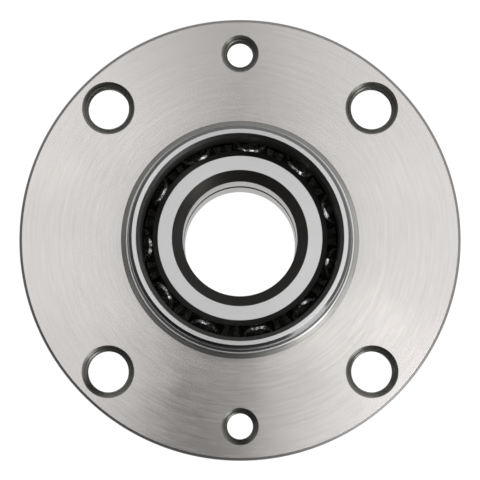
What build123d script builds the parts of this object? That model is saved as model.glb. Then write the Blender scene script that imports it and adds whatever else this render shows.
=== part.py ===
"""Wheel hub bearing: a flanged hub that turns on two rows of balls, around two split inner rings.

The unit is the millimetre. +Z is the bearing axis and points outboard, to the wheel. The origin is on
the axis, at the inboard face of the inner rings, where they stand against the stub axle's shoulder.
"""

import os
from math import cos, radians, sin

from build123d import *

os.makedirs("parts", exist_ok=True)

# ------------------------------------------------------------------ rolling set: two rows, back to back

bore_diameter = 30.0
ball_diameter = 10.319
ball_count = 11
pitch_diameter = 48.0
contact_angle = 40.0  # degrees
race_conformity = 0.52  # race radius as a share of the ball's diameter
race_clearance = 0.04  # gap between ball and race where they meet
outboard_ball_angle = 84.3  # degrees from +X to the first ball
inboard_ball_angle = 90.0

# Where the two rows stand between the end faces of the inner rings
inboard_row_setback = 14.2
row_spacing = 23.6
outboard_row_setback = 16.2

# ------------------------------------------------------------------ inner rings

high_shoulder_height = 3.96  # above the bottom of the race, on the side that takes the thrust
low_shoulder_height = 0.46
outboard_lead_radial = 2.68  # long lead-in at the outboard mouth of the bore
outboard_lead_length = 5.0
inboard_lead = 2.0  # clears the corner radius of the stub axle
outboard_ring_chamfer = 1.4
inboard_ring_chamfer = 0.9
ring_joint_chamfer = 0.5

# Clip that holds the two inner rings together, in a recess of their bores
clip_width = 5.0
clip_thickness = 0.6
clip_inset = 0.4  # how far the clip lies back from the bore's wall
clip_lip_height = 0.7
clip_lip_width = 0.6
clip_clearance = 0.1
clip_end_gap = 0.5
clip_split = 8.0  # degrees left open, so that the clip can spring into its groove

# ------------------------------------------------------------------ hub: flange, spigot and barrel

outer_shoulder_height = 3.46  # land of the bore above the bottom of the outer race
hole_circle_diameter = 98.0
flange_margin = 9.0  # from the hole circle to the flange's edge
flange_thickness = 9.4
flange_edge_chamfer = 0.75
spigot_wall = 3.3  # gives the 58 mm wheel pilot
spigot_height = 16.0
spigot_overhang = 6.4  # how far the spigot stands out past the inner rings
spigot_chamfer_radial = 1.0
spigot_chamfer_length = 1.6
step_width = 1.0  # gives the 60 mm drum pilot
step_height = 1.6
step_corner_radius = 0.7
relief_width = 1.25
relief_depth = 1.2
mouth_chamfer_radial = 0.9
mouth_chamfer_length = 1.5
mouth_lead_radial = 0.3
mouth_lead_length = 7.0
grease_recess_width = 8.0
grease_recess_depth = 1.0
barrel_wall = 4.84  # behind the bottom of the outer race
barrel_setback = 1.2  # how far the inner ring stands out past the barrel
barrel_seat_step = 1.0
barrel_seat_length = 11.0
barrel_chamfer = 1.0
flange_fillet = 4.0

# Tapped holes, drilled to the minor diameter of the thread
wheel_bolt_count = 4
wheel_bolt_angle = 45.0
wheel_bolt_drill = 10.8  # M12 x 1.25
wheel_bolt_countersink = 13.6
drum_screw_count = 2
drum_screw_angle = 90.0
drum_screw_drill = 6.8  # M8 x 1.25
drum_screw_countersink = 9.6
countersink_angle = 90.0

# ------------------------------------------------------------------ inboard cassette seal

seal_seat_step = 2.3  # from the land out to the seal's seat
seal_depth = 6.2
seal_lead_chamfer = 0.5
case_steel = 0.6
case_recess = 0.5
slinger_steel = 0.6
slinger_sleeve_length = 5.0
slinger_edge_gap = 0.4
web_gap = 1.0  # from the slinger's sleeve to the case's web
rubber_web_thickness = 0.8
rubber_edge_thickness = 0.5
lip_thickness = 0.45
lip_gap = 0.12
axial_lip_lean = 0.9

# ------------------------------------------------------------------ moulded crown cages

cage_guide_gap = 0.3  # to the land that guides the cage
cage_wall = 3.9
cage_back_thickness = 1.8
cage_horn_height = 2.4
cage_pocket_clearance = 0.15
cage_edge_chamfer = 0.4
horn_slot_width = 1.4
horn_slot_depth = 2.6
back_pocket_length = 3.4  # round the cage
back_pocket_width = 1.6  # across its wall
back_pocket_depth = 1.8

# ------------------------------------------------------------------ radii and heights worked out

bore_radius = bore_diameter / 2
ball_radius = ball_diameter / 2
pitch_radius = pitch_diameter / 2
inner_race_radius = pitch_radius - ball_radius
outer_race_radius = pitch_radius + ball_radius
high_shoulder_radius = inner_race_radius + high_shoulder_height
low_shoulder_radius = inner_race_radius + low_shoulder_height
land_radius = outer_race_radius - outer_shoulder_height

inboard_row_height = inboard_row_setback
outboard_row_height = inboard_row_setback + row_spacing
joint_height = inboard_row_setback + row_spacing / 2
stack_height = outboard_row_height + outboard_row_setback
spigot_face_height = stack_height + spigot_overhang
flange_face_height = spigot_face_height - spigot_height
flange_back_height = flange_face_height - flange_thickness
step_face_height = flange_face_height + step_height

flange_radius = hole_circle_diameter / 2 + flange_margin
spigot_radius = land_radius + spigot_wall
step_radius = spigot_radius + step_width
barrel_radius = outer_race_radius + barrel_wall
barrel_seat_radius = barrel_radius - barrel_seat_step
seal_seat_radius = land_radius + seal_seat_step
seal_seat_height = barrel_setback + seal_depth

# A race is an arc a little larger than the ball. Its centre lies off the ball's centre along the contact
# line, so that ball and race meet at the contact angle.
race_radius = race_conformity * ball_diameter
race_offset = race_radius - ball_radius - race_clearance
race_offset_radial = race_offset * cos(radians(contact_angle))
race_offset_axial = race_offset * sin(radians(contact_angle))

OUTBOARD = 1
INBOARD = -1
radius_match = 0.01  # how near an edge's radius comes to the one looked for


def section(*points):
    """A closed outline of (radius, height) points, to be turned about the axis."""
    with BuildSketch(Plane.XZ) as outline:
        with BuildLine():
            Polyline(*points, close=True)
        make_face()
    return outline.sketch


def circle_section(radius, centre_radius, centre_height):
    """A circle in the plane of the axis, to be turned about the axis as a race."""
    with BuildSketch(Plane.XZ) as outline:
        with Locations((centre_radius, centre_height)):
            Circle(radius)
    return outline.sketch


def circles(builder, radius):
    """The circular edges of one radius in a part under way, from the lowest up."""
    round_edges = builder.edges().filter_by(GeomType.CIRCLE)
    return round_edges.filter_by(lambda edge: abs(edge.radius - radius) < radius_match).sort_by(Axis.Z)


def row_angles(first_angle):
    """The angle of each ball in a row, in degrees."""
    return [first_angle + 360 * i / ball_count for i in range(ball_count)]


def save(piece, name):
    """Names a finished piece and writes it as a STEP file of that name."""
    piece.label = name
    export_step(piece, f"parts/{name}.step")


# ------------------------------------------------------------------ hub

with BuildPart() as hub_flange:
    # Barrel: a turned seat at the inboard end, then the forged body up to the flange
    revolve(
        section(
            (0, barrel_setback),
            (barrel_seat_radius - barrel_chamfer, barrel_setback),
            (barrel_seat_radius, barrel_setback + barrel_chamfer),
            (barrel_seat_radius, barrel_setback + barrel_seat_length),
            (barrel_radius, barrel_setback + barrel_seat_length + barrel_seat_step),
            (barrel_radius, flange_face_height),
            (0, flange_face_height),
        ),
        axis=Axis.Z,
    )
    # Flange: a disc faced on both sides
    revolve(
        section(
            (0, flange_back_height),
            (flange_radius - flange_edge_chamfer, flange_back_height),
            (flange_radius, flange_back_height + flange_edge_chamfer),
            (flange_radius, flange_face_height - flange_edge_chamfer),
            (flange_radius - flange_edge_chamfer, flange_face_height),
            (0, flange_face_height),
        ),
        axis=Axis.Z,
    )
    fillet(circles(hub_flange, barrel_radius)[-1], radius=flange_fillet)
    # Spigot: a low step that centres the drum, then the diameter that centres the wheel
    revolve(
        section(
            (0, flange_face_height),
            (step_radius, flange_face_height),
            (step_radius, step_face_height),
            (spigot_radius, step_face_height),
            (spigot_radius, spigot_face_height - spigot_chamfer_length),
            (spigot_radius - spigot_chamfer_radial, spigot_face_height),
            (0, spigot_face_height),
        ),
        axis=Axis.Z,
    )
    fillet(circles(hub_flange, spigot_radius)[0], radius=step_corner_radius)
    # Turned relief at the foot of the step
    with BuildSketch(Plane.XZ) as relief:
        with Locations((step_radius + relief_width / 2, flange_face_height)):
            Rectangle(relief_width, 2 * relief_depth)
    revolve(relief.sketch, axis=Axis.Z, mode=Mode.SUBTRACT)
    # Bore: seal seat, plain lands either side of a grease recess, and the mouth
    revolve(
        section(
            (0, 0),
            (seal_seat_radius + seal_lead_chamfer, 0),
            (seal_seat_radius + seal_lead_chamfer, barrel_setback),
            (seal_seat_radius, barrel_setback + seal_lead_chamfer),
            (seal_seat_radius, seal_seat_height),
            (land_radius, seal_seat_height),
            (land_radius, joint_height - grease_recess_width / 2),
            (land_radius + grease_recess_depth, joint_height - grease_recess_width / 2 + grease_recess_depth),
            (land_radius + grease_recess_depth, joint_height + grease_recess_width / 2 - grease_recess_depth),
            (land_radius, joint_height + grease_recess_width / 2),
            (land_radius, spigot_face_height - mouth_chamfer_length - mouth_lead_length),
            (land_radius + mouth_lead_radial, spigot_face_height - mouth_chamfer_length),
            (land_radius + mouth_lead_radial + mouth_chamfer_radial, spigot_face_height),
            (0, spigot_face_height),
        ),
        axis=Axis.Z,
        mode=Mode.SUBTRACT,
    )
    # Outer races
    for row_height, side in ((outboard_row_height, OUTBOARD), (inboard_row_height, INBOARD)):
        revolve(
            circle_section(
                race_radius, pitch_radius - race_offset_radial, row_height + side * race_offset_axial
            ),
            axis=Axis.Z,
            mode=Mode.SUBTRACT,
        )
    # Holes for the wheel bolts and the drum's screws, countersunk on both faces
    for count, angle, drill, countersink in (
        (wheel_bolt_count, wheel_bolt_angle, wheel_bolt_drill, wheel_bolt_countersink),
        (drum_screw_count, drum_screw_angle, drum_screw_drill, drum_screw_countersink),
    ):
        for face in (Plane.XY.offset(flange_face_height), -Plane.XY.offset(flange_back_height)):
            with Locations(face):
                with PolarLocations(hole_circle_diameter / 2, count, start_angle=angle):
                    CounterSinkHole(drill / 2, countersink / 2, flange_thickness, countersink_angle)
save(hub_flange.part, "hub_flange")

# ------------------------------------------------------------------ inner rings

clip_inner_radius = bore_radius + clip_inset
clip_outer_radius = clip_inner_radius + clip_thickness
clip_lip_radius = clip_outer_radius + clip_lip_height
recess_radius = clip_outer_radius + clip_clearance
groove_radius = clip_lip_radius + clip_clearance
groove_start = clip_width / 2 - clip_lip_width - clip_clearance
groove_end = clip_width / 2 + clip_end_gap


def inner_ring_section(end_height, row_height, side, end_chamfer, lead_radial, lead_length):
    """Half of an inner ring before its race is ground.

    It runs from the joint to the end face, with the recess of the clip at the joint."""
    return section(
        (recess_radius, joint_height),
        (low_shoulder_radius - ring_joint_chamfer, joint_height),
        (low_shoulder_radius, joint_height + side * ring_joint_chamfer),
        (low_shoulder_radius, row_height),
        (high_shoulder_radius, row_height),
        (high_shoulder_radius, end_height - side * end_chamfer),
        (high_shoulder_radius - end_chamfer, end_height),
        (bore_radius + lead_radial, end_height),
        (bore_radius, end_height - side * lead_length),
        (bore_radius, joint_height + side * groove_end),
        (groove_radius, joint_height + side * groove_end),
        (groove_radius, joint_height + side * groove_start),
        (recess_radius, joint_height + side * groove_start),
    )


def inner_race_section(row_height, side):
    """The circle that an inner race is ground with."""
    return circle_section(
        race_radius, pitch_radius + race_offset_radial, row_height - side * race_offset_axial
    )


with BuildPart() as outboard_inner_ring:
    revolve(
        inner_ring_section(
            stack_height,
            outboard_row_height,
            OUTBOARD,
            outboard_ring_chamfer,
            outboard_lead_radial,
            outboard_lead_length,
        ),
        axis=Axis.Z,
    )
    revolve(inner_race_section(outboard_row_height, OUTBOARD), axis=Axis.Z, mode=Mode.SUBTRACT)
save(outboard_inner_ring.part, "outboard_inner_ring")

with BuildPart() as inboard_inner_ring:
    revolve(
        inner_ring_section(
            0, inboard_row_height, INBOARD, inboard_ring_chamfer, inboard_lead, inboard_lead
        ),
        axis=Axis.Z,
    )
    revolve(inner_race_section(inboard_row_height, INBOARD), axis=Axis.Z, mode=Mode.SUBTRACT)
save(inboard_inner_ring.part, "inboard_inner_ring")

# ------------------------------------------------------------------ clip between the inner rings

with BuildPart() as inner_ring_clip:
    revolve(
        section(
            (clip_inner_radius, joint_height - clip_width / 2),
            (clip_lip_radius, joint_height - clip_width / 2),
            (clip_lip_radius, joint_height - clip_width / 2 + clip_lip_width),
            (clip_outer_radius, joint_height - clip_width / 2 + clip_lip_width),
            (clip_outer_radius, joint_height + clip_width / 2 - clip_lip_width),
            (clip_lip_radius, joint_height + clip_width / 2 - clip_lip_width),
            (clip_lip_radius, joint_height + clip_width / 2),
            (clip_inner_radius, joint_height + clip_width / 2),
        ),
        axis=Axis.Z,
        revolution_arc=360 - clip_split,
    )
save(inner_ring_clip.part, "inner_ring_clip")

# ------------------------------------------------------------------ balls

for row_name, row_height, first_angle in (
    ("outboard", outboard_row_height, outboard_ball_angle),
    ("inboard", inboard_row_height, inboard_ball_angle),
):
    for number, angle in enumerate(row_angles(first_angle), start=1):
        with BuildPart() as ball:
            with Locations((
                pitch_radius * cos(radians(angle)),
                pitch_radius * sin(radians(angle)),
                row_height,
            )):
                Sphere(ball_radius)
        save(ball.part, f"{row_name}_ball_{number:02d}")

# ------------------------------------------------------------------ cages

cage_outer_radius = land_radius - cage_guide_gap
cage_inner_radius = cage_outer_radius - cage_wall
cage_middle_radius = (cage_outer_radius + cage_inner_radius) / 2
pocket_radius = ball_radius + cage_pocket_clearance
cage_back_depth = pocket_radius + cage_back_thickness

# Each cage is drawn with the ball centres on its plane and its horns pointing along the plane's normal
for row_name, row_plane, first_angle in (
    ("outboard", Plane.XY.offset(outboard_row_height), outboard_ball_angle),
    ("inboard", -Plane.XY.offset(inboard_row_height), -inboard_ball_angle),
):
    horn_angle = first_angle + 180 / ball_count
    with BuildPart(row_plane) as cage:
        with BuildSketch(row_plane.offset(-cage_back_depth)):
            Circle(cage_outer_radius)
            Circle(cage_inner_radius, mode=Mode.SUBTRACT)
        extrude(amount=cage_back_depth + cage_horn_height)
        along_horns = Axis(row_plane.origin, row_plane.z_dir)
        back_edges = cage.edges().filter_by(GeomType.CIRCLE).group_by(along_horns)[0]
        chamfer(back_edges, length=cage_edge_chamfer)
        # Ball pockets, open past the balls' middles, so that the horns hold the balls
        with PolarLocations(pitch_radius, ball_count, start_angle=first_angle):
            Sphere(pocket_radius, mode=Mode.SUBTRACT)
        # Slots that part the horns of neighbouring pockets, so that each can spring
        with BuildSketch(row_plane.offset(cage_horn_height)):
            with PolarLocations(cage_middle_radius, ball_count, start_angle=horn_angle):
                Rectangle(2 * cage_wall, horn_slot_width)
        extrude(amount=-horn_slot_depth, mode=Mode.SUBTRACT)
        # Moulding recesses in the back, between the pockets
        with BuildSketch(row_plane.offset(-cage_back_depth)):
            with PolarLocations(cage_middle_radius, ball_count, start_angle=horn_angle):
                Rectangle(back_pocket_width, back_pocket_length)
        extrude(amount=back_pocket_depth, mode=Mode.SUBTRACT)
    save(cage.part, f"{row_name}_cage")

# ------------------------------------------------------------------ inboard seal

case_outer_radius = seal_seat_radius
case_inner_radius = case_outer_radius - case_steel
case_mouth_height = barrel_setback + case_recess
web_height = seal_seat_height - case_steel
sleeve_radius = high_shoulder_radius + slinger_steel
slinger_face_height = barrel_setback
slinger_back_height = slinger_face_height + slinger_steel
slinger_edge_radius = case_inner_radius - rubber_edge_thickness - slinger_edge_gap
web_edge_radius = sleeve_radius + web_gap
rubber_face_height = web_height - rubber_web_thickness
lip_root_radius = (web_edge_radius + case_inner_radius) / 2

# Case: pressed into the hub, with its web on the side of the balls
with BuildPart() as seal_case:
    revolve(
        section(
            (case_inner_radius, case_mouth_height),
            (case_outer_radius, case_mouth_height),
            (case_outer_radius, seal_seat_height),
            (web_edge_radius, seal_seat_height),
            (web_edge_radius, web_height),
            (case_inner_radius, web_height),
        ),
        axis=Axis.Z,
    )
save(seal_case.part, "seal_case")

# Rubber: bonded to the case, with a lip on the slinger's sleeve and one on its flange
with BuildPart() as seal_lips:
    revolve(
        section(
            (case_inner_radius, case_mouth_height),
            (case_inner_radius, web_height),
            (web_edge_radius, web_height),
            (sleeve_radius + lip_gap, web_height + lip_thickness),
            (sleeve_radius + lip_gap, web_height),
            (web_edge_radius - lip_thickness, rubber_face_height),
            (lip_root_radius - lip_thickness, rubber_face_height),
            (lip_root_radius - lip_thickness + axial_lip_lean, slinger_back_height + lip_gap),
            (lip_root_radius + axial_lip_lean, slinger_back_height + lip_gap),
            (lip_root_radius + lip_thickness, rubber_face_height),
            (case_inner_radius - rubber_edge_thickness, rubber_face_height),
            (case_inner_radius - rubber_edge_thickness, case_mouth_height),
        ),
        axis=Axis.Z,
    )
save(seal_lips.part, "seal_lips")

# Slinger: pressed on the inner ring, with its flange across the mouth of the case
with BuildPart() as seal_slinger:
    revolve(
        section(
            (high_shoulder_radius, slinger_face_height),
            (slinger_edge_radius, slinger_face_height),
            (slinger_edge_radius, slinger_back_height),
            (sleeve_radius, slinger_back_height),
            (sleeve_radius, slinger_face_height + slinger_sleeve_length),
            (high_shoulder_radius, slinger_face_height + slinger_sleeve_length),
        ),
        axis=Axis.Z,
    )
save(seal_slinger.part, "seal_slinger")
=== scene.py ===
"""Wheel hub bearing: the finished surfaces of the hub, its rings, balls, cages and seal, and the studio."""

from __future__ import annotations

import logging
import math
from dataclasses import dataclass, field
from enum import Enum

import bmesh
import bpy
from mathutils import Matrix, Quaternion, Vector


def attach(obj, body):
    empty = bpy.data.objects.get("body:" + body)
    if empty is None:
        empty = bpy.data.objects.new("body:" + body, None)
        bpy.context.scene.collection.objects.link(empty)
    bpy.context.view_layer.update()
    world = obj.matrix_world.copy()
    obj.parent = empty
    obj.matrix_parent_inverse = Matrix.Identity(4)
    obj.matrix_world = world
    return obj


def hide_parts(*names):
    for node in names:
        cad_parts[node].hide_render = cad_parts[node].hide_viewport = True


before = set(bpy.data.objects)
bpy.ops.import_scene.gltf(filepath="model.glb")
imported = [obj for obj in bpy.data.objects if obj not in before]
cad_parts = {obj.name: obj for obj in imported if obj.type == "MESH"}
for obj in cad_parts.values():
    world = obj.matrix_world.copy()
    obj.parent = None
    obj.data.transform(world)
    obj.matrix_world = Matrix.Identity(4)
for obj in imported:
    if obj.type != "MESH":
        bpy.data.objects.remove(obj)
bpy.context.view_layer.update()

log = logging.getLogger("hub_bearing")

MM = 0.001  # sizes of the parts are given in millimetres, and the scene is in metres

Colour = tuple[float, float, float]
Point = tuple[float, float]
Node = bpy.types.Node
Socket = bpy.types.NodeSocket
Mesh = bmesh.types.BMesh
Face = bmesh.types.BMFace
Ring = list[bmesh.types.BMVert]


# -------- names


class Surface(Enum):
    """How a surface was made, which decides its finish; several steel finishes also carry painted shade in
    their colour. Its value names the material.
    """

    FACED = "faced_steel"
    GROUND = "ground_steel"
    LAPPED = "lapped_steel"
    BORED = "bored_steel"
    BORE_SHADE = "bore_shade_steel"
    SEAT = "seat_steel"
    TURNED = "turned_steel"
    DARK = "deep_shade_steel"
    LEAD_SHADE = "lead_shade_steel"
    MOUTH_SHADE = "mouth_shade_steel"
    CHAMFER_SHADE = "chamfer_shade_steel"
    RELIEF_SHADE = "relief_shade_steel"
    RIM_SHADE = "rim_shade_steel"
    RACE = "race_steel"
    THREAD = "thread_shade_steel"
    PRESSED = "pressed_steel"
    BLUED = "blued_steel"
    RUBBER = "lip_rubber"
    NYLON = "greased_nylon"
    BALL = "greased_ball"


class Slot(Enum):
    """The record's material slots."""

    HUB = "hub_steel"
    RING = "ring_steel"
    CLIP = "clip_steel"
    BALL = "ball_steel"
    CAGE = "cage_nylon"
    SEAL_STEEL = "seal_steel"
    SEAL_RUBBER = "seal_rubber"


class Side(Enum):
    """The two rows of balls."""

    OUTBOARD = "outboard"
    INBOARD = "inboard"


class Edge:
    """How far the edges of turned pieces are rounded, in millimetres."""

    KEEN = 0.08
    GROUND = 0.10
    LAPPED = 0.12
    TURNED = 0.15
    EASED = 0.20
    SOFT = 0.30
    FORGED = 0.40


# -------- nodes


class NodeTree:
    """Adds nodes to a material or world, and joins them."""

    def __init__(self, tree: bpy.types.NodeTree) -> None:
        """Empties a node tree and keeps it."""
        self.tree = tree
        tree.nodes.clear()

    def add(self, kind: str, inputs: dict[str | int, object] | None = None, **settings: object) -> Node:
        """Adds a node.

        Args:
            kind: Blender's name for the node type.
            inputs: a value, or the output to link, for each input by its name or place.
            settings: properties of the node.

        Returns:
            The new node.
        """
        node = self.tree.nodes.new(kind)
        for key, value in settings.items():
            setattr(node, key, value)
        for key, value in (inputs or {}).items():
            if isinstance(value, Socket):
                self.tree.links.new(value, node.inputs[key])
            else:
                node.inputs[key].default_value = value
        return node

    def maths(self, operation: str, first: object, second: object = 0.0) -> Socket:
        """Works out one number from two, each a number or an output."""
        return self.add("ShaderNodeMath", {0: first, 1: second}, operation=operation).outputs[0]

    def vector(self, operation: str, first: object, second: object = (0.0, 0.0, 0.0)) -> Socket:
        """Works out a vector, a length or a dot product.

        Args:
            operation: Blender's name for the operation.
            first: a vector or an output.
            second: a vector or an output, and for SCALE a number.

        Returns:
            The output that holds the result.
        """
        second_input = "Scale" if operation == "SCALE" else 1
        node = self.add("ShaderNodeVectorMath", {0: first, second_input: second}, operation=operation)
        return node.outputs["Value" if operation in ("LENGTH", "DOT_PRODUCT") else "Vector"]

    def from_axis(self, place: Socket) -> tuple[Socket, Socket]:
        """Works out the direction straight out from the Z axis to a place, and the distance."""
        flat = self.vector("MULTIPLY", place, (1.0, 1.0, 0.0))
        return self.vector("NORMALIZE", flat), self.vector("LENGTH", flat)

    def blend(self, share: object, first: object, second: object) -> Socket:
        """Mixes two colours by the share of the second."""
        return self.add("ShaderNodeMix", {0: share, 6: first, 7: second}, data_type="RGBA").outputs[2]

    def spread(self, value: object, low: float, high: float, start: float = 0.0, end: float = 1.0) -> Socket:
        """Maps the stretch of numbers from low to high onto that from start to end, and clamps it there."""
        return self.add("ShaderNodeMapRange", {0: value, 1: low, 2: high, 3: start, 4: end}).outputs[0]

    def noise(self, place: Socket, scale: float, detail: float = 2.0, **inputs: float) -> Socket:
        """Adds a cloudy noise from 0 to 1, with so many clouds for each unit of length."""
        inputs = {"Vector": place, "Scale": scale, "Detail": detail, **inputs}
        return self.add("ShaderNodeTexNoise", inputs, noise_dimensions="3D").outputs[0]

    def bump(self, height: Socket, strength: float, depth: float) -> Socket:
        """Makes a surface uneven by a height from 0 to 1, of which 1 is this many millimetres."""
        inputs = {"Height": height, "Strength": strength, "Distance": depth * MM}
        return self.add("ShaderNodeBump", inputs).outputs[0]

    def show(self, shader: Node, output: str = "ShaderNodeOutputMaterial") -> None:
        """Makes a shader the one that the material or the world shows."""
        self.add(output, {"Surface": shader.outputs[0]})


def rgba(colour: Colour) -> tuple[float, float, float, float]:
    """A colour with full alpha."""
    return (*colour, 1.0)


def new_material(name: str) -> tuple[bpy.types.Material, NodeTree]:
    """Makes an empty material.

    Args:
        name: its name.

    Returns:
        The material and its nodes.
    """
    material = bpy.data.materials.new(name)
    material.use_nodes = True
    return material, NodeTree(material.node_tree)


# -------- finishes

# Stretches of a noise's values, from one that leaves out little to one that cuts off its ends
WIDE = (0.25, 0.75)
USUAL = (0.3, 0.7)
NARROW = (0.35, 0.65)


@dataclass(frozen=True)
class Steel:
    """Steel cut or ground while it turned about the bearing axis, with its marks running round it."""

    surface: Surface
    colour: Colour
    roughness: float
    anisotropy: float
    feed: float  # millimetres between the finest marks
    mark_depth: float  # millimetres
    mark_strength: float
    tone: float = 0.06  # how much the colour varies from mark to mark
    cloud: float = 0.05  # how much the colour varies from place to place
    flat: bool = False  # marks step along the radius, as on a flat face, and not along the axis too
    grain: float = 0.0  # height of a fine speckle, as a share of the marks' height
    arcs: float = 6.0  # how often a mark breaks off and starts again, for each radian
    fine_share: float = 0.65  # of the finest marks, beside the broad ones
    broad_feed: float = 7.3  # how many fine marks go to a broad one
    cloud_scale: float = 45.0  # clouds for each metre
    speckle_scale: float = 6000.0
    mark_gloss: float = 0.014  # how much the roughness varies from mark to mark
    cloud_gloss: Point = (-0.02, 0.03)  # and from place to place

    def inputs(self, net: NodeTree) -> dict[str, object]:
        """Works out the principled shader's inputs.

        Args:
            net: the material's nodes.

        Returns:
            The inputs by name.
        """
        place = net.add("ShaderNodeTexCoord").outputs["Object"]
        fine, marks = self.marks(net, place)
        clouds = net.noise(place, self.cloud_scale, detail=4.0)
        value = net.maths("ADD", net.spread(marks, *WIDE, 1.0 - self.tone, 1.0 + self.tone),
                          net.spread(clouds, *USUAL, -self.cloud, self.cloud))
        height = marks
        if self.grain > 0:
            speckle = net.noise(place, self.speckle_scale)
            height = net.maths("ADD", marks, net.maths("MULTIPLY", speckle, self.grain))
        smooth, dull = (self.roughness + change for change in self.cloud_gloss)
        roughness = net.maths("ADD", net.spread(fine, *USUAL, -self.mark_gloss, self.mark_gloss),
                              net.spread(clouds, *USUAL, smooth, dull))
        return {
            "Base Color": net.vector("SCALE", self.colour, value),
            "Metallic": 1.0,
            "Roughness": roughness,
            "Anisotropic": self.anisotropy,
            "Anisotropic Rotation": 0.25,  # a quarter turn, so that gleams spread across the marks
            "Tangent": net.add("ShaderNodeTangent", direction_type="RADIAL", axis="Z").outputs[0],
            "Normal": net.bump(height, self.mark_strength, self.mark_depth),
        }

    def marks(self, net: NodeTree, place: Socket) -> tuple[Socket, Socket]:
        """Makes the marks that the tool or the stone left, as broken arcs round the axis.

        Args:
            net: the material's nodes.
            place: the output that holds the place.

        Returns:
            The finest marks, and those with broad ones.
        """
        outward, distance = net.from_axis(place)
        height = net.add("ShaderNodeSeparateXYZ", {0: place}).outputs[2]
        across = distance if self.flat else net.maths("ADD", distance, height)
        step = net.add("ShaderNodeCombineXYZ", {2: net.maths("DIVIDE", across, self.feed * MM)}).outputs[0]
        track = net.vector("ADD", net.vector("SCALE", outward, self.arcs), step)
        fine = net.noise(track, 1.0, detail=3.0, Roughness=0.6)
        broad_step = net.maths("DIVIDE", across, self.feed * self.broad_feed * MM)
        broad = net.add("ShaderNodeTexNoise", {"W": broad_step}, noise_dimensions="1D").outputs[0]
        both = net.maths("ADD", net.maths("MULTIPLY", fine, self.fine_share),
                         net.maths("MULTIPLY", broad, 1.0 - self.fine_share))
        return fine, both


@dataclass(frozen=True)
class PolishedBall:
    """Polished bearing steel under an uneven film of grease, which the cage has wiped from a track."""

    surface: Surface = Surface.BALL
    colour: Colour = (0.70, 0.70, 0.71)
    grease: Colour = (0.004, 0.004, 0.003)
    smear: Colour = (0.075, 0.072, 0.048)  # where the grease is streaked
    smear_edges: Point = (0.45, 0.68)  # the film's thickness where streaks start and are whole
    roughness: Point = (0.18, 0.48)  # of the bare steel and of the grease
    specular: float = 0.25
    film_scale: float = 900.0  # clouds of the film for each metre
    film_swirl: float = 1.2
    film_depth: float = 0.12  # millimetres
    film_strength: float = 0.9
    film_share: float = 0.4  # of the film, beside the larger blots
    blot_scale: float = 420.0
    cover_edges: Point = (0.295, 0.41)  # the thickness where it starts to hide the steel, and hides it all
    axis_tilt: float = 40.0  # degrees from the bearing axis to the axis that the ball spins about
    track_angle: float = 45.5  # degrees from that axis to the wiped track, which stays on top
    track_edges: Point = (0.04, 0.12)  # the distance from the track where the film starts and is whole
    wiped: Point = (-0.17, 0.22)  # what is added to the film's thickness on the track, and off it

    def inputs(self, net: NodeTree) -> dict[str, object]:
        """Works out the principled shader's inputs.

        Args:
            net: the material's nodes.

        Returns:
            The inputs by name.
        """
        coordinates = net.add("ShaderNodeTexCoord")
        place = coordinates.outputs["Object"]
        film = net.noise(place, self.film_scale, detail=5.0, Distortion=self.film_swirl)
        blots = net.noise(place, self.blot_scale)
        thickness = net.maths("ADD", net.maths("MULTIPLY", film, self.film_share),
                              net.maths("MULTIPLY", blots, 1.0 - self.film_share))
        wiped = net.spread(self.off_track(net, coordinates), *self.track_edges, *self.wiped)
        cover = net.spread(net.maths("ADD", thickness, wiped), *self.cover_edges)
        smear = net.blend(net.spread(film, *self.smear_edges), rgba(self.grease), rgba(self.smear))
        return {
            "Base Color": net.blend(cover, rgba(self.colour), smear),
            "Metallic": net.maths("SUBTRACT", 1.0, cover),
            "Roughness": net.spread(cover, 0.0, 1.0, *self.roughness),
            "Specular IOR Level": self.specular,
            "Normal": net.bump(film, self.film_strength, self.film_depth),
        }

    def off_track(self, net: NodeTree, coordinates: Node) -> Socket:
        """Works out how far a point lies from the wiped track.

        Args:
            net: the material's nodes.
            coordinates: the texture coordinates.

        Returns:
            The output that holds the distance, as a difference of cosines.
        """
        tilt = math.radians(self.axis_tilt)
        outward, _ = net.from_axis(coordinates.outputs["Object"])
        lean = net.vector("SCALE", outward, math.sin(tilt))
        spin_axis = net.vector("ADD", lean, (0.0, 0.0, math.cos(tilt)))
        cosine = net.vector("DOT_PRODUCT", coordinates.outputs["Normal"], spin_axis)
        return net.maths("ABSOLUTE", net.maths("SUBTRACT", cosine, math.cos(math.radians(self.track_angle))))


@dataclass(frozen=True)
class Moulded:
    """Moulded plastic or rubber, mottled where grease lies on it."""

    surface: Surface
    colour: Colour
    patch: Colour  # colour of the lighter patches
    roughness: Point  # from and to
    grain: float  # millimetres of depth
    grain_size: float  # millimetres
    specular: float = 0.5
    grain_strength: float = 0.6
    grain_contrast: Point = (0.6, 1.4)  # how much the grain breaks up the patches
    patch_scale: float = 700.0  # patches for each metre
    patch_edges: Point = (0.40, 0.62)

    def inputs(self, net: NodeTree) -> dict[str, object]:
        """Works out the principled shader's inputs.

        Args:
            net: the material's nodes.

        Returns:
            The inputs by name.
        """
        place = net.add("ShaderNodeTexCoord").outputs["Object"]
        grain = net.noise(place, 1.0 / (self.grain_size * MM), detail=4.0)
        blot = net.noise(place, self.patch_scale, detail=3.0)
        mottled = net.maths("MULTIPLY", blot, net.spread(grain, *USUAL, *self.grain_contrast))
        patches = net.spread(mottled, *self.patch_edges)
        return {
            "Base Color": net.blend(patches, rgba(self.colour), rgba(self.patch)),
            "Roughness": net.spread(blot, *NARROW, *self.roughness),
            "Specular IOR Level": self.specular,
            "Normal": net.bump(grain, self.grain_strength, self.grain),
        }


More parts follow.
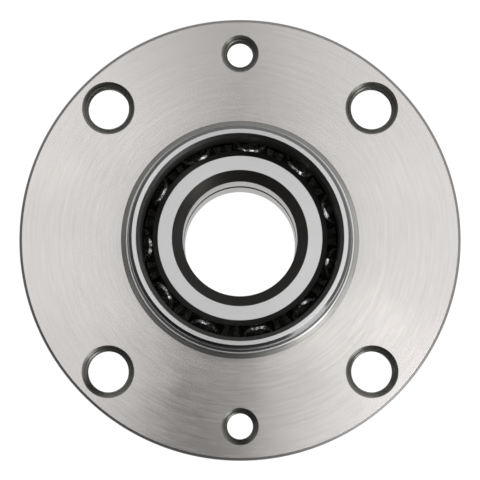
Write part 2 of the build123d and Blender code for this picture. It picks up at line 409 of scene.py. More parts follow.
class Workshop:
    """Makes each finish once, and hands it out by its surface."""

    finishes = (
        # Each steel's colour, roughness, anisotropy, feed, mark depth and strength, tone, cloud, flat, grain
        Steel(Surface.FACED, (0.600, 0.574, 0.558), 0.20, 0.85, 0.62, 0.001, 0.05, 0.06, 0.03, True),
        Steel(Surface.GROUND, (0.545, 0.542, 0.540), 0.30, 0.6, 0.16, 0.001, 0.10, 0.02, 0.02, True),
        Steel(Surface.LAPPED, (0.53, 0.53, 0.53), 0.33, 0.15, 0.16, 0.001, 0.10, 0.03, 0.035, True, 0.6),
        Steel(Surface.BORED, (0.58, 0.575, 0.565), 0.28, 0.6, 0.12, 0.002, 0.25),
        # bored steel at half its colour: painted shade on the inner rings' bore walls
        Steel(Surface.BORE_SHADE, (0.27, 0.260, 0.246), 0.28, 0.6, 0.12, 0.002, 0.25),
        Steel(Surface.SEAT, (0.42, 0.415, 0.405), 0.16, 0.4, 0.12, 0.001, 0.15),
        Steel(Surface.TURNED, (0.36, 0.353, 0.342), 0.32, 0.7, 0.22, 0.006, 0.5),
        # near-black steel: painted shade in the hub's bore, its recess and the rings' joint and grooves
        Steel(Surface.DARK, (0.065, 0.061, 0.056), 0.42, 0.9, 0.18, 0.005, 0.5, 0.15, 0.15, False, 0.3),
        # near-black steel: painted shade on the rings' lead chamfers into the bore
        Steel(Surface.LEAD_SHADE, (0.068, 0.064, 0.058), 0.40, 0.9, 0.35, 0.005, 0.5, 0.3, 0.2, False, 0.3),
        # darkened steel: painted shade on the hub's mouth and the rings' outer end chamfers
        Steel(Surface.MOUTH_SHADE, (0.14, 0.138, 0.132), 0.34, 0.5, 0.18, 0.005, 0.5, 0.15, 0.1),
        # dark steel: painted shade on the spigot's chamfer, the step's top and the spigot's foot
        Steel(Surface.CHAMFER_SHADE, (0.105, 0.105, 0.107), 0.2, 0.7, 0.2, 0.002, 0.3, 0.1),
        # darkened steel: painted shade in the relief groove
        Steel(Surface.RELIEF_SHADE, (0.27, 0.266, 0.254), 0.28, 0.85, 0.2, 0.004, 0.4, 0.08),
        # darkened steel: painted shade on the flange's front edge chamfer
        Steel(Surface.RIM_SHADE, (0.22, 0.216, 0.208), 0.45, 0.3, 0.2, 0.004, 0.4),
        Steel(Surface.RACE, (0.50, 0.50, 0.50), 0.12, 0.3, 0.10, 0.001, 0.2),
        # dark steel: painted shade on the walls of the tapped holes
        Steel(Surface.THREAD, (0.165, 0.163, 0.15), 0.36, 0.0, 0.16, 0.006, 0.5, 0.15, 0.2, False, 0.3),
        Steel(Surface.PRESSED, (0.42, 0.41, 0.39), 0.33, 0.3, 0.5, 0.004, 0.3, 0.06, 0.1, True),
        Steel(Surface.BLUED, (0.05, 0.048, 0.045), 0.35, 0.2, 0.3, 0.004, 0.3),
        # Each moulding's colour and its patches' colour, roughness, grain, grain size and specular
        Moulded(Surface.RUBBER, (0.018, 0.018, 0.018), (0.032, 0.032, 0.031), (0.45, 0.65), 0.02, 0.25),
        Moulded(Surface.NYLON, (0.004, 0.004, 0.003), (0.07, 0.067, 0.045), (0.30, 0.50), 0.3, 0.6, 0.2),
        PolishedBall(),
    )

    def __init__(self) -> None:
        """Starts with no finish made."""
        self.made: dict[Surface, bpy.types.Material] = {}

    def material(self, surface: Surface) -> bpy.types.Material:
        """Makes the material of a surface when it is first asked for.

        Args:
            surface: the surface.

        Returns:
            Its material.
        """
        if surface not in self.made:
            finish = next(finish for finish in self.finishes if finish.surface is surface)
            self.made[surface], net = new_material(surface.value)
            net.show(net.add("ShaderNodeBsdfPrincipled", finish.inputs(net)))
        return self.made[surface]

    def dress(self, node: str, surface: Surface, slot: Slot) -> None:
        """Gives a solid of the frame its finish.

        Args:
            node: the node's name.
            surface: its surface.
            slot: the record's material slot; not used.
        """
        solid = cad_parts[node]
        solid.data.materials.clear()
        solid.data.materials.append(self.material(surface))
        log.info("%s: %s", node, surface.value)


# -------- turning

CURVED_GROUP = -1  # faces of arcs and rounded edges
HOLE_GROUP = 100000  # faces of the first hole, and one more for each hole after it
LONGEST_ROUNDING = 0.49  # of the edges beside it
ROUNDING_STEPS = 4
ARC_STEPS = 20


@dataclass(frozen=True)
class Corner:
    """A corner of a turned outline, in millimetres, and the surface from here to the next corner."""

    radius: float
    height: float
    surface: Surface
    rounding: float = 0.0  # radius
    pierced: bool = False  # the stretch from here has holes drilled through it
    curved: bool = False  # the stretch from here is part of an arc


def rounded(before: Corner, corner: Corner, after: Corner) -> list[Point]:
    """Rounds a corner.

    Args:
        before: the corner before it.
        corner: the corner to round.
        after: the corner after it.

    Returns:
        The points that take the corner's place, as (radius, height).
    """
    here = Vector((corner.radius, corner.height))
    if corner.rounding <= 0:
        return [(here.x, here.y)]
    back = Vector((before.radius, before.height)) - here
    ahead = Vector((after.radius, after.height)) - here
    half = back.angle(ahead) / 2
    reach = min(corner.rounding / math.tan(half), LONGEST_ROUNDING * back.length,
                LONGEST_ROUNDING * ahead.length)
    radius = reach * math.tan(half)
    centre = here + (back.normalized() + ahead.normalized()).normalized() * (radius / math.sin(half))
    start = here + back.normalized() * reach - centre
    end = here + ahead.normalized() * reach - centre
    turn = start.angle_signed(end)
    points = []
    for step in range(ROUNDING_STEPS + 1):
        angle = -turn * step / ROUNDING_STEPS
        spoke = Vector((start.x * math.cos(angle) - start.y * math.sin(angle),
                        start.x * math.sin(angle) + start.y * math.cos(angle)))
        points.append(tuple(centre + spoke))
    return points


def arc(centre: Point, radius: float, start: float, end: float, surface: Surface) -> list[Corner]:
    """The corners of an arc, both ends included. Its angles are in degrees from straight outward."""
    angles = [math.radians(start + (end - start) * step / ARC_STEPS) for step in range(ARC_STEPS + 1)]
    return [Corner(centre[0] + radius * math.cos(angle), centre[1] + radius * math.sin(angle), surface,
                   curved=step < ARC_STEPS) for step, angle in enumerate(angles)]


def ring(mesh: Mesh, centre: Point, radii: list[float], height: float) -> Ring:
    """Adds a level ring of evenly spaced vertices.

    Args:
        mesh: the mesh to add to.
        centre: the ring's centre, as (x, y).
        radii: each vertex's distance from it.
        height: the ring's height.

    Returns:
        The vertices.
    """
    vertices = []
    for step, radius in enumerate(radii):
        angle = 2 * math.pi * step / len(radii)
        vertices.append(mesh.verts.new(((centre[0] + radius * math.cos(angle)) * MM,
                                        (centre[1] + radius * math.sin(angle)) * MM, height * MM)))
    return vertices


def band(mesh: Mesh, upper: Ring, lower: Ring) -> list[Face]:
    """Joins two rings of as many vertices, and returns the faces between them."""
    return [mesh.faces.new((upper[step - 1], upper[step], lower[step], lower[step - 1]))
            for step in [*range(1, len(upper)), 0]]


@dataclass
class TappedHole:
    """A threaded hole through a flange, countersunk on both faces. Sizes in millimetres."""

    circle: float  # radius of the circle that the hole's axis stands on
    angle: float  # degrees from +X
    minor: float  # radius at the thread's crests
    major: float  # radius at the thread's roots
    mouth: float  # radius of the countersink at the face
    pitch: float
    top: float
    bottom: float
    around: int
    rows_per_pitch: int = 10
    edge: float = 0.12  # broken edge round the countersink
    flank: Point = (1.65, 3.795)  # height at mid-thread and fall for each pitch, both as shares of the depth

    def radius_at(self, turn: float, height: float) -> float:
        """The wall's radius.

        Args:
            turn: how far round the hole, from 0 to 1.
            height: height of the point.

        Returns:
            The radius there: the thread's, or the countersink's where that is wider.
        """
        phase = (height / self.pitch - turn) % 1.0
        cut = min(1.0, max(0.0, self.flank[0] - self.flank[1] * abs(phase - 0.5)))
        thread = self.minor + (self.major - self.minor) * cut
        depth = min(self.top - height, height - self.bottom)
        return max(thread, self.mouth - depth)

    def heights(self) -> list[float]:
        """Spaces out the rows of the wall.

        Returns:
            Their heights, from the top face to the bottom one.
        """
        rows = round((self.top - self.bottom) / self.pitch * self.rows_per_pitch)
        span = self.top - self.bottom - 2 * self.edge
        inner = [self.top - self.edge - span * row / rows for row in range(rows + 1)]
        return [self.top, *inner, self.bottom]

    def add(self, mesh: Mesh, slot: int) -> tuple[Ring, Ring]:
        """Adds the wall of the hole to a mesh.

        Args:
            mesh: the mesh to add to.
            slot: the wall's material slot.

        Returns:
            The rings at the top and the bottom face.
        """
        angle = math.radians(self.angle)
        centre = (self.circle * math.cos(angle), self.circle * math.sin(angle))
        rings = []
        for height in self.heights():
            radii = [self.radius_at(step / self.around, height) for step in range(self.around)]
            if height in (self.top, self.bottom):
                radii = [self.mouth + self.edge] * self.around
            rings.append(ring(mesh, centre, radii, height))
        for upper, lower in zip(rings, rings[1:]):
            for face in band(mesh, upper, lower):
                face.material_index = slot
        return rings[0], rings[-1]


@dataclass
class Turning:
    """A piece turned about the bearing axis, from a closed outline."""

    name: str
    corners: list[Corner]
    steps: int = 288
    holes: list[TappedHole] = field(default_factory=list)

    def build(self, workshop: Workshop) -> bpy.types.Object:
        """Makes the mesh and gives each stretch its finish.

        Args:
            workshop: where the finishes come from.

        Returns:
            The new object.
        """
        surfaces = list(dict.fromkeys(corner.surface for corner in self.corners))
        # the walls of the holes carry painted shade
        if self.holes:
            surfaces.append(Surface.THREAD)
        mesh = bmesh.new()
        outline = self.outline()
        rings = [ring(mesh, (0.0, 0.0), [corner.radius] * self.steps, corner.height) for corner in outline]
        group = mesh.faces.layers.int.new("group")
        hole_rings = []
        for number, hole in enumerate(self.holes):
            first_face = len(mesh.faces)
            hole_rings.append(hole.add(mesh, surfaces.index(Surface.THREAD)))
            mesh.faces.ensure_lookup_table()
            for face in mesh.faces[first_face:]:
                face[group] = HOLE_GROUP + number
        for index, corner in enumerate(outline):
            pair = rings[index], rings[(index + 1) % len(rings)]
            for face in self.pierce(mesh, *pair, hole_rings) if corner.pierced else band(mesh, *pair):
                face.material_index = surfaces.index(corner.surface)
                face[group] = CURVED_GROUP if corner.curved else index
        bmesh.ops.recalc_face_normals(mesh, faces=mesh.faces)
        return self.finished(mesh, group, [workshop.material(surface) for surface in surfaces])

    def outline(self) -> list[Corner]:
        """Breaks each rounded corner of the outline into a short arc.

        Returns:
            The corners.
        """
        outline = []
        for index, corner in enumerate(self.corners):
            before = self.corners[index - 1]
            after = self.corners[(index + 1) % len(self.corners)]
            points = rounded(before, corner, after)
            outline += [Corner(*point, corner.surface, curved=True) for point in points[:-1]]
            outline.append(Corner(*points[-1], corner.surface, pierced=corner.pierced, curved=corner.curved))
        return outline

    def pierce(self, mesh: Mesh, first: Ring, second: Ring, holes: list[tuple[Ring, Ring]]) -> list[Face]:
        """Fills a flat stretch around the holes that go through it.

        Args:
            mesh: the mesh to add to.
            first: the ring of vertices at one edge of the stretch.
            second: the ring at its other edge.
            holes: the rings at the top and the bottom of each hole.

        Returns:
            The faces that fill it.
        """
        height = first[0].co.z
        mouths = [min(pair, key=lambda loop: abs(loop[0].co.z - height)) for pair in holes]
        edges = [mesh.edges.get(pair) or mesh.edges.new(pair)
                 for loop in (first, second, *mouths) for pair in zip(loop, loop[1:] + loop[:1])]
        filled = bmesh.ops.triangle_fill(mesh, use_beauty=True, use_dissolve=False, edges=edges)
        return [item for item in filled["geom"] if isinstance(item, Face)]

    def normals(self, mesh: Mesh, group: bmesh.types.BMLayerItem) -> list[Vector]:
        """Works out how light meets each corner of each face.

        A straight stretch keeps its own direction up to its edges, and a rounded edge takes up the turn
        from one stretch to the next.

        Args:
            mesh: the built mesh.
            group: the layer that says which stretch a face belongs to.

        Returns:
            One direction for each corner of each face.
        """
        at_vertex: list[dict[int, Vector]] = []
        for vertex in mesh.verts:
            sums: dict[int, Vector] = {}
            for face in vertex.link_faces:
                sums[face[group]] = sums.get(face[group], Vector()) + face.normal
            at_vertex.append(sums)
        directions = []
        for face in mesh.faces:
            for vertex in face.verts:
                sums = at_vertex[vertex.index]
                wanted = face[group]
                straight = [key for key in sums if key != CURVED_GROUP]
                if wanted == CURVED_GROUP and len(straight) == 1:
                    wanted = straight[0]
                directions.append(sums[wanted].normalized())
        return directions

    def finished(self, mesh: Mesh, group: bmesh.types.BMLayerItem,
                 materials: list[bpy.types.Material]) -> bpy.types.Object:
        """Turns the built mesh into an object that takes light as the turned piece does.

        Args:
            mesh: the built mesh, which is freed.
            group: the layer that says which stretch a face belongs to.
            materials: the finishes, in the order of the faces' slots.

        Returns:
            The new object.
        """
        for face in mesh.faces:
            face.smooth = True
        mesh.verts.index_update()
        directions = self.normals(mesh, group)
        made = new_object(self.name, mesh)
        made.data.normals_split_custom_set(directions)
        for material in materials:
            made.data.materials.append(material)
        log.info("%s: %d faces", self.name, len(made.data.polygons))
        return made


def new_object(name: str, mesh: Mesh) -> bpy.types.Object:
    """Puts a built mesh into the scene, and frees it.

    Args:
        name: the object's name.
        mesh: the built mesh.

    Returns:
        The new object.
    """
    data = bpy.data.meshes.new(name)
    mesh.to_mesh(data)
    mesh.free()
    made = bpy.data.objects.new(name, data)
    bpy.context.scene.collection.objects.link(made)
    return made


# -------- the bearing


@dataclass(frozen=True)
class RollingSet:
    """The sizes that balls, races and shoulders share, in millimetres."""

    ball: float = 10.319
    pitch_circle: float = 48.0
    contact_angle: float = 40.0  # degrees
    conformity: float = 0.52  # race radius as a share of the ball's diameter
    clearance: float = 0.04
    inboard_row: float = 14.2
    row_spacing: float = 23.6
    high_shoulder: float = 3.96
    low_shoulder: float = 0.46
    outer_shoulder: float = 3.46

    @property
    def joint(self) -> float:
        """Height of the joint between the inner rings."""
        return self.inboard_row + self.row_spacing / 2

    @property
    def race_radius(self) -> float:
        """Radius of the race's arc."""
        return self.conformity * self.ball

    @property
    def high_radius(self) -> float:
        """Radius of the inner rings' high shoulders."""
        return (self.pitch_circle - self.ball) / 2 + self.high_shoulder

    @property
    def low_radius(self) -> float:
        """Radius of the inner rings' low shoulders."""
        return (self.pitch_circle - self.ball) / 2 + self.low_shoulder

    @property
    def land_radius(self) -> float:
        """Radius of the hub's bore beside its races."""
        return (self.pitch_circle + self.ball) / 2 - self.outer_shoulder

    def race_centre(self, side: Side, inner: bool) -> Point:
        """The centre of a race's arc.

        Args:
            side: the row that the race belongs to.
            inner: whether it is the race of the inner ring.

        Returns:
            The centre, as (radius, height).
        """
        offset = self.race_radius - self.ball / 2 - self.clearance
        outward = 1.0 if side is Side.OUTBOARD else -1.0
        row = self.inboard_row + (self.row_spacing if side is Side.OUTBOARD else 0.0)
        away = 1.0 if inner else -1.0
        angle = math.radians(self.contact_angle)
        return (self.pitch_circle / 2 + away * offset * math.cos(angle),
                row - away * outward * offset * math.sin(angle))


@dataclass
class Hub:
    """The flanged hub: barrel, flange and spigot in one forging, with both outer races in its bore."""

    workshop: Workshop
    rolling: RollingSet
    face: float = 44.4
    thickness: float = 9.4
    flange_radius: float = 58.0
    edge_chamfer: float = 0.75
    edge_bevel: Point = (0.6, 0.36)  # the flatter part of the front edge's chamfer
    spigot_radius: float = 29.0
    spigot_top: float = 60.4
    spigot_chamfer: Point = (1.0, 1.6)  # across and down
    spigot_bevel: Point = (0.8, 0.6)  # the flatter part of the chamfer
    step: Point = (1.0, 1.6)  # width and height
    step_land: float = 0.42  # outer part of the step's top, in plain bored steel; the rest of the top carries painted shade
    step_rounding: float = 0.28  # at the foot of the spigot
    relief: Point = (1.25, 0.04)  # width, and depth at its outer edge
    relief_rise: float = 0.45  # how far its floor rises above the face at the step
    mouth_chamfer: Point = (0.9, 1.5)
    mouth_lead: Point = (0.3, 7.0)
    recess: Point = (8.0, 1.0)  # width and depth of the grease recess between the races
    barrel_radius: float = 34.0
    barrel_seat: Point = (33.0, 11.0)  # radius and length
    barrel_end: float = 1.2
    barrel_chamfer: float = 1.0
    root_rounding: float = 4.0
    seal_seat: Point = (28.0, 6.2)  # radius and depth
    seal_lead: float = 0.5
    hole_circle: float = 49.0  # radius
    thread_pitch: float = 1.25
    bolt_hole: Place = (5.4, 6.0, 6.8)  # radii: thread's crests, thread's roots, mouth
    bolt_angles: tuple[float, ...] = (45.0, 135.0, 225.0, 315.0)
    bolt_steps: int = 96  # round a hole
    screw_hole: Place = (3.4, 4.0, 4.8)
    screw_angles: tuple[float, ...] = (90.0, 270.0)
    screw_steps: int = 80
    steps: int = 360
    body: str = "hub"

    def holes(self) -> list[TappedHole]:
        """Lists the four wheel bolt holes and the two drum screw holes.

        Returns:
            The holes.
        """
        kinds = ((self.bolt_angles, self.bolt_hole, self.bolt_steps),
                 (self.screw_angles, self.screw_hole, self.screw_steps))
        return [TappedHole(self.hole_circle, angle, *radii, self.thread_pitch, top=self.face,
                           bottom=self.face - self.thickness, around=steps)
                for angles, radii, steps in kinds for angle in angles]

    def race(self, side: Side) -> list[Corner]:
        """The arc of an outer race, from its outboard end to its inboard one.

        Args:
            side: the row that the race belongs to.

        Returns:
            The corners.
        """
        centre = self.rolling.race_centre(side, inner=False)
        reach = math.degrees(math.acos((self.rolling.land_radius - centre[0]) / self.rolling.race_radius))
        return arc(centre, self.rolling.race_radius, reach, -reach, Surface.RACE)

    def corners(self) -> list[Corner]:
        """The hub's outline, from the mouth's edge down the bore and back up the outside."""
        return [*self.bore_corners(), *self.barrel_corners(), *self.flange_corners(), *self.spigot_corners()]

    def bore_corners(self) -> list[Corner]:
        """The bore, from its mouth down to the seat of the seal.

        Returns:
            The corners.
        """
        land = self.rolling.land_radius
        mouth_radius = land + self.mouth_lead[0]
        mouth_low = self.spigot_top - self.mouth_chamfer[1]
        seat_radius, seat_depth = self.seal_seat
        seat_top = self.barrel_end + seat_depth
        recess_width, recess_depth = self.recess
        recess_top = self.rolling.joint + recess_width / 2
        recess_low = self.rolling.joint - recess_width / 2
        return [
            # the mouth's chamfer and its lead carry painted shade
            Corner(mouth_radius + self.mouth_chamfer[0], self.spigot_top, Surface.MOUTH_SHADE, Edge.LAPPED),
            Corner(mouth_radius, mouth_low, Surface.MOUTH_SHADE, Edge.EASED),
            # from here the lands, the recess and the seal seat's lead carry painted shade
            Corner(land, mouth_low - self.mouth_lead[1], Surface.DARK),
            *self.race(Side.OUTBOARD),
            Corner(land, recess_top, Surface.DARK),
            Corner(land + recess_depth, recess_top - recess_depth, Surface.DARK),
            Corner(land + recess_depth, recess_low + recess_depth, Surface.DARK),
            Corner(land, recess_low, Surface.DARK),
            *self.race(Side.INBOARD),
            Corner(land, seat_top, Surface.DARK),
            Corner(seat_radius, seat_top, Surface.BORED),
            Corner(seat_radius, self.barrel_end + self.seal_lead, Surface.DARK),
        ]

    def barrel_corners(self) -> list[Corner]:
        """The barrel, from its inboard face up to the back of the flange.

        Returns:
            The corners.
        """
        seat_radius, seat_length = self.barrel_seat
        seat_top = self.barrel_end + seat_length
        shoulder_top = seat_top + self.barrel_radius - seat_radius
        return [
            Corner(self.seal_seat[0] + self.seal_lead, self.barrel_end, Surface.GROUND, Edge.GROUND),
            Corner(seat_radius - self.barrel_chamfer, self.barrel_end, Surface.TURNED, Edge.TURNED),
            Corner(seat_radius, self.barrel_end + self.barrel_chamfer, Surface.SEAT, Edge.TURNED),
            Corner(seat_radius, seat_top, Surface.TURNED, Edge.SOFT),
            Corner(self.barrel_radius, shoulder_top, Surface.TURNED, Edge.FORGED),
        ]

    def flange_corners(self) -> list[Corner]:
        """The flange, from the root of its back round its edge to its front edge's bevel.

        Returns:
            The corners.
        """
        back = self.face - self.thickness
        flat_radius = self.flange_radius - self.edge_chamfer
        bevel_width, bevel_drop = self.edge_bevel
        return [
            Corner(self.barrel_radius, back, Surface.FACED, self.root_rounding, pierced=True),
            Corner(flat_radius, back, Surface.TURNED, Edge.TURNED),
            Corner(self.flange_radius, back + self.edge_chamfer, Surface.TURNED, Edge.TURNED),
            # the front edge's chamfer carries painted shade
            Corner(self.flange_radius, self.face - self.edge_chamfer, Surface.RIM_SHADE, Edge.TURNED),
            Corner(flat_radius + bevel_width, self.face - bevel_drop, Surface.RIM_SHADE, Edge.TURNED),
            Corner(flat_radius, self.face, Surface.FACED, Edge.LAPPED, pierced=True),
        ]

    def spigot_corners(self) -> list[Corner]:
        """The relief, the step and the spigot, from the flange's face up to the spigot's face.

        Returns:
            The corners.
        """
        step_radius = self.spigot_radius + self.step[0]
        step_top = self.face + self.step[1]
        relief_width, relief_depth = self.relief
        relief_radius = step_radius + relief_width
        chamfer_width, chamfer_drop = self.spigot_chamfer
        top_radius = self.spigot_radius - chamfer_width
        bevel_width, bevel_drop = self.spigot_bevel
        return [
            # the relief groove carries painted shade
            Corner(relief_radius, self.face, Surface.RELIEF_SHADE),
            Corner(relief_radius - relief_depth, self.face - relief_depth, Surface.RELIEF_SHADE),
            Corner(step_radius, self.face + self.relief_rise, Surface.RELIEF_SHADE, Edge.SOFT),
            Corner(step_radius, step_top, Surface.BORED, Edge.EASED),
            # the inner part of the step's top and the spigot's foot carry painted shade
            Corner(step_radius - self.step_land, step_top, Surface.CHAMFER_SHADE),
            Corner(self.spigot_radius, step_top, Surface.CHAMFER_SHADE, self.step_rounding),
            Corner(self.spigot_radius, step_top + 2 * self.step_rounding, Surface.TURNED),
            # the spigot's chamfer carries painted shade
            Corner(self.spigot_radius, self.spigot_top - chamfer_drop, Surface.CHAMFER_SHADE, Edge.TURNED),
            Corner(top_radius + bevel_width, self.spigot_top - bevel_drop, Surface.CHAMFER_SHADE, Edge.TURNED),
            Corner(top_radius, self.spigot_top, Surface.GROUND, Edge.GROUND),
        ]

    def build(self) -> None:
        """Builds the hub and puts it in place of its plain solid."""
        piece = Turning("hub_forging", self.corners(), self.steps, self.holes()).build(self.workshop)
        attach(piece, self.body)
        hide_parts("hub_flange")


@dataclass
class InnerRings:
    """The two inner rings, the clip between them and the seal's slinger, which stand on the axle."""

    workshop: Workshop
    rolling: RollingSet
    bore: float = 15.0
    end_heights: Point = (54.0, 0.0)  # outboard and inboard
    end_chamfers: Point = (1.4, 0.9)
    leads: tuple[Point, Point] = ((2.68, 5.0), (2.0, 2.0))  # across and along the bore
    joint_chamfer: float = 0.5
    clip_recess: float = 1.1  # depth
    clip_groove: Place = (1.8, 3.0, 1.8)  # start, end and depth
    body: str = "inner_rings"

    def corners(self, side: Side) -> list[Corner]:
        """The outline of one ring, from the bore at the joint out and back along the outside.

        Args:
            side: which ring.

        Returns:
            The corners.
        """
        which = list(Side).index(side)
        up = 1.0 if side is Side.OUTBOARD else -1.0
        joint = self.rolling.joint
        end, chamfer = self.end_heights[which], self.end_chamfers[which]
        lead_width, lead_length = self.leads[which]
        high, low = self.rolling.high_radius, self.rolling.low_radius
        groove_start, groove_end, groove_depth = self.clip_groove
        centre = self.rolling.race_centre(side, inner=True)
        from_low, from_high = (math.degrees(math.acos((centre[0] - shoulder) / self.rolling.race_radius))
                               for shoulder in (low, high))
        return [
            Corner(self.bore + self.clip_recess, joint, Surface.GROUND),
            # the joint chamfer carries painted shade
            Corner(low - self.joint_chamfer, joint, Surface.DARK, Edge.GROUND),
            Corner(low, joint + up * self.joint_chamfer, Surface.TURNED, Edge.GROUND),
            *arc(centre, self.rolling.race_radius, 180 + up * from_low, 180 - up * from_high, Surface.RACE),
            # the outer end chamfer carries painted shade
            Corner(high, end - up * chamfer, Surface.MOUTH_SHADE, Edge.EASED),
            Corner(high - chamfer, end, Surface.LAPPED, Edge.LAPPED),
            # the lead chamfer into the bore carries painted shade
            Corner(self.bore + lead_width, end, Surface.LEAD_SHADE, Edge.LAPPED),
            # the bore wall carries painted shade
            Corner(self.bore, end - up * lead_length, Surface.BORE_SHADE, Edge.LAPPED),
            # the clip groove carries painted shade
            Corner(self.bore, joint + up * groove_end, Surface.DARK, Edge.KEEN),
            Corner(self.bore + groove_depth, joint + up * groove_end, Surface.DARK),
            Corner(self.bore + groove_depth, joint + up * groove_start, Surface.DARK),
            Corner(self.bore + self.clip_recess, joint + up * groove_start, Surface.DARK),
        ]

    def build(self) -> None:
        """Builds both rings and dresses the clip and the slinger."""
        for side in Side:
            piece = Turning(f"{side.value}_ring", self.corners(side)).build(self.workshop)
            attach(piece, self.body)
            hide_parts(f"{side.value}_inner_ring")
            self.workshop.dress("inner_ring_clip", Surface.BLUED, Slot.CLIP)
        self.workshop.dress("seal_slinger", Surface.PRESSED, Slot.SEAL_STEEL)


@dataclass
class BallRow:
    """One row of balls in its moulded crown cage."""

    workshop: Workshop
    side: Side
    count: int = 11

    def build(self) -> None:
        """Dresses the cage and its balls."""
        self.workshop.dress(f"{self.side.value}_cage", Surface.NYLON, Slot.CAGE)
        for number in range(1, self.count + 1):
            self.workshop.dress(f"{self.side.value}_ball_{number:02d}", Surface.BALL, Slot.BALL)


@dataclass
class InboardSeal:
    """The case and the lips of the seal, which turn with the hub."""

    workshop: Workshop

    def build(self) -> None:
        """Dresses the seal."""
        self.workshop.dress("seal_case", Surface.PRESSED, Slot.SEAL_STEEL)
        self.workshop.dress("seal_lips", Surface.RUBBER, Slot.SEAL_RUBBER)


# -------- studio


@dataclass
class Panel:
    """A soft rectangular lamp."""

    name: str
    centre: Place
    aim: Place
    width: float
    depth: float
    level: float  # brightness of the panel's face, where 1 is white
    turn: float = 0.0  # degrees about its own aim

    def build(self) -> None:
        """Makes the lamp."""
        data = bpy.data.lights.new(self.name, "AREA")
        data.shape = "RECTANGLE"
        data.size = self.width
        data.size_y = self.depth
        data.energy = self.level * self.width * self.depth * math.pi
        lamp = bpy.data.objects.new(self.name, data)
        bpy.context.scene.collection.objects.link(lamp)
        lamp.location = self.centre
        lamp.rotation_mode = "QUATERNION"
        aimed = (Vector(self.centre) - Vector(self.aim)).to_track_quat("Z", "Y")
        lamp.rotation_quaternion = aimed @ Quaternion((0.0, 0.0, 1.0), math.radians(self.turn))
        lamp.visible_camera = False


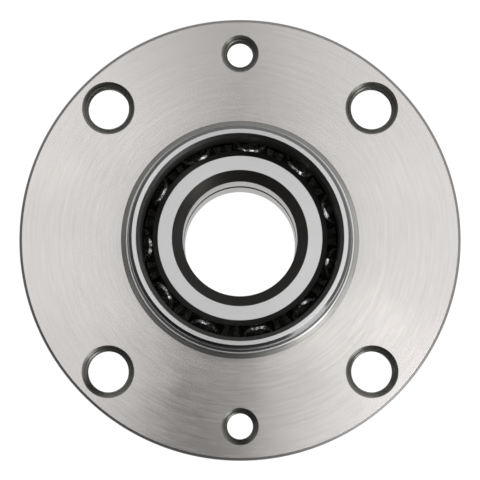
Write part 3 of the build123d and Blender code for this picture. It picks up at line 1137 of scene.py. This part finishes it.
@dataclass
class Studio:
    """A white sweep under soft light, with the camera almost over the bearing's axis."""

    flange_face: float = 44.4  # millimetres
    camera_distance: float = 1000.0
    camera_tilt: float = 2.65  # degrees from straight down
    camera_range: Point = (0.01, 20.0)  # metres
    pixels_per_mm: float = 3.808  # at the flange face
    picture: int = 480  # pixels across
    centre_pixel: Point = (240.0, 239.7)  # where the axis meets the flange face
    sensor: float = 36.0
    floor_size: float = 4.0  # metres from the middle to an edge
    floor_gap: float = 0.3  # the floor lies this far under the lowest face
    floor_colour: Colour = (0.8, 0.8, 0.8)
    floor_glow: float = 1.08
    glow_share: float = 0.93  # of the floor's look, the rest of which comes from light and shadow
    # Brightness of the room by how far up a direction points, from level to straight up
    room: tuple[Point, ...] = ((0.0, 0.42), (0.35, 0.42), (0.7, 0.16), (1.0, 0.09))
    bright_side: Place = (0.5, 0.87, 0.0)
    side_share: Point = (0.05, 3.6)  # share of the room's brightness away from that side and towards it

    def panels(self) -> list[Panel]:
        """Lists the studio's lamps.

        Returns:
            The lamps.
        """
        return [
            Panel("left_panel", (-0.346, -0.059, 1.0), (-0.346, -0.059, 0.0), 0.50, 0.77, 1.08, turn=-21.7),
            Panel("right_panel", (0.72, 0.05, 1.0), (0.72, 0.05, 0.0), 1.39, 0.80, 1.14),
            Panel("near_panel", (0.486, -0.465, 0.95), (0.486, -0.465, 0.0), 0.65, 0.62, 2.45, turn=-16.3),
            Panel("window", (0.80, -0.90, 0.35), (0.0, 0.0, 0.05), 0.50, 0.66, 4.5),
        ]

    def build(self) -> None:
        """Builds the sweep, the light and the camera."""
        self.build_floor()
        self.build_world()
        for panel in self.panels():
            panel.build()
        self.build_camera()
        bpy.context.scene.view_settings.view_transform = "Standard"

    def build_floor(self) -> None:
        """Builds the pale floor, which looks white and still takes a soft shadow."""
        mesh = bmesh.new()
        bmesh.ops.create_grid(mesh, x_segments=1, y_segments=1, size=self.floor_size)
        floor = new_object("floor", mesh)
        floor.location.z = -self.floor_gap * MM
        material, net = new_material("floor")
        diffuse = net.add("ShaderNodeBsdfDiffuse", {"Color": rgba(self.floor_colour)})
        glow = net.add("ShaderNodeEmission", {"Strength": self.floor_glow})
        path = net.add("ShaderNodeLightPath").outputs
        seen = net.maths("MAXIMUM", path["Is Camera Ray"], path["Is Glossy Ray"])
        seen = net.maths("MAXIMUM", seen, path["Is Transmission Ray"])
        both = net.add("ShaderNodeMixShader", {0: self.glow_share, 1: diffuse.outputs[0], 2: glow.outputs[0]})
        net.show(net.add("ShaderNodeMixShader", {0: seen, 1: diffuse.outputs[0], 2: both.outputs[0]}))
        floor.data.materials.append(material)

    def build_world(self) -> None:
        """Builds the soft light from above, which fades towards the top and away from the bright side."""
        world = bpy.data.worlds.new("studio")
        bpy.context.scene.world = world
        world.use_nodes = True
        net = NodeTree(world.node_tree)
        way = net.add("ShaderNodeTexCoord").outputs["Generated"]
        ramp = net.add("ShaderNodeValToRGB", {0: net.add("ShaderNodeSeparateXYZ", {0: way}).outputs[2]})
        stops = ramp.color_ramp.elements
        while len(stops) < len(self.room):
            stops.new(1.0)
        for stop, (height, level) in zip(stops, self.room):
            stop.position = height
            stop.color = rgba((level, level, level))
        strength = net.spread(net.vector("DOT_PRODUCT", way, self.bright_side), -1.0, 1.0, *self.side_share)
        light = net.add("ShaderNodeBackground", {"Color": ramp.outputs[0], "Strength": strength})
        white = net.add("ShaderNodeBackground", {"Color": rgba((1.0, 1.0, 1.0))})
        seen = net.add("ShaderNodeLightPath").outputs["Is Camera Ray"]
        both = net.add("ShaderNodeMixShader", {0: seen, 1: light.outputs[0], 2: white.outputs[0]})
        net.show(both, "ShaderNodeOutputWorld")

    def build_camera(self) -> None:
        """Builds the camera, tilted a little from straight down."""
        tilt = math.radians(self.camera_tilt)
        back = Vector((0.0, -math.sin(tilt), math.cos(tilt)))
        rotation = (-back).to_track_quat("-Z", "Y")
        data = bpy.data.cameras.new("camera")
        data.sensor_width = self.sensor
        data.lens = self.sensor * self.camera_distance * self.pixels_per_mm / self.picture
        data.clip_start, data.clip_end = self.camera_range
        camera = bpy.data.objects.new("camera", data)
        bpy.context.scene.collection.objects.link(camera)
        across = (self.picture / 2 - self.centre_pixel[0]) / self.pixels_per_mm
        upward = (self.centre_pixel[1] - self.picture / 2) / self.pixels_per_mm
        target = Vector((0.0, 0.0, self.flange_face)) + rotation @ Vector((across, upward, 0.0))
        camera.location = (target + back * self.camera_distance) * MM
        camera.rotation_mode = "QUATERNION"
        camera.rotation_quaternion = rotation
        bpy.context.scene.camera = camera


def main() -> None:
    """Builds the bearing and the studio round it."""
    logging.basicConfig(level=logging.INFO, format="%(name)s %(message)s")
    workshop = Workshop()
    rolling = RollingSet()
    Hub(workshop, rolling).build()
    InnerRings(workshop, rolling).build()
    for side in Side:
        BallRow(workshop, side).build()
    InboardSeal(workshop).build()
    Studio().build()


if __name__ == "__main__":
    main()
